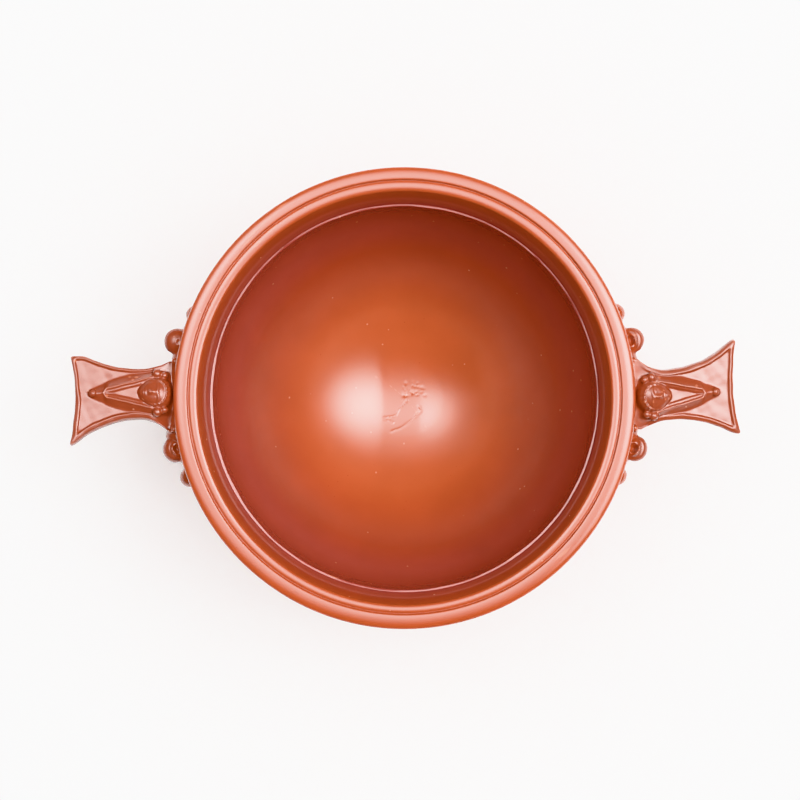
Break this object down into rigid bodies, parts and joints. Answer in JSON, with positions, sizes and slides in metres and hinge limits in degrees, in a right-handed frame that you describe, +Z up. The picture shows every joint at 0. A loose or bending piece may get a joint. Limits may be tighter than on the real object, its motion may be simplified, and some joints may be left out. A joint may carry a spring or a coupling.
{
  "type": "two-handled drinking cup",
  "caption": "Red-gloss pottery drinking cup with a deep round bowl, moulded lip, ring foot and opposed finger-loop handles topped by flared thumb plates with masks in relief.",
  "frame": {"origin": "middle of the resting face of the ring foot, under the bowl's axis", "axes": "+X along the line through the handles, +Y across it, +Z up out of the mouth"},
  "size_m": [0.1763, 0.12, 0.0699],
  "materials": {
    "red_slip": "satin"
  },
  "bodies": {
    "root": {"cup": "red_slip"}
  },
  "joints": []
}
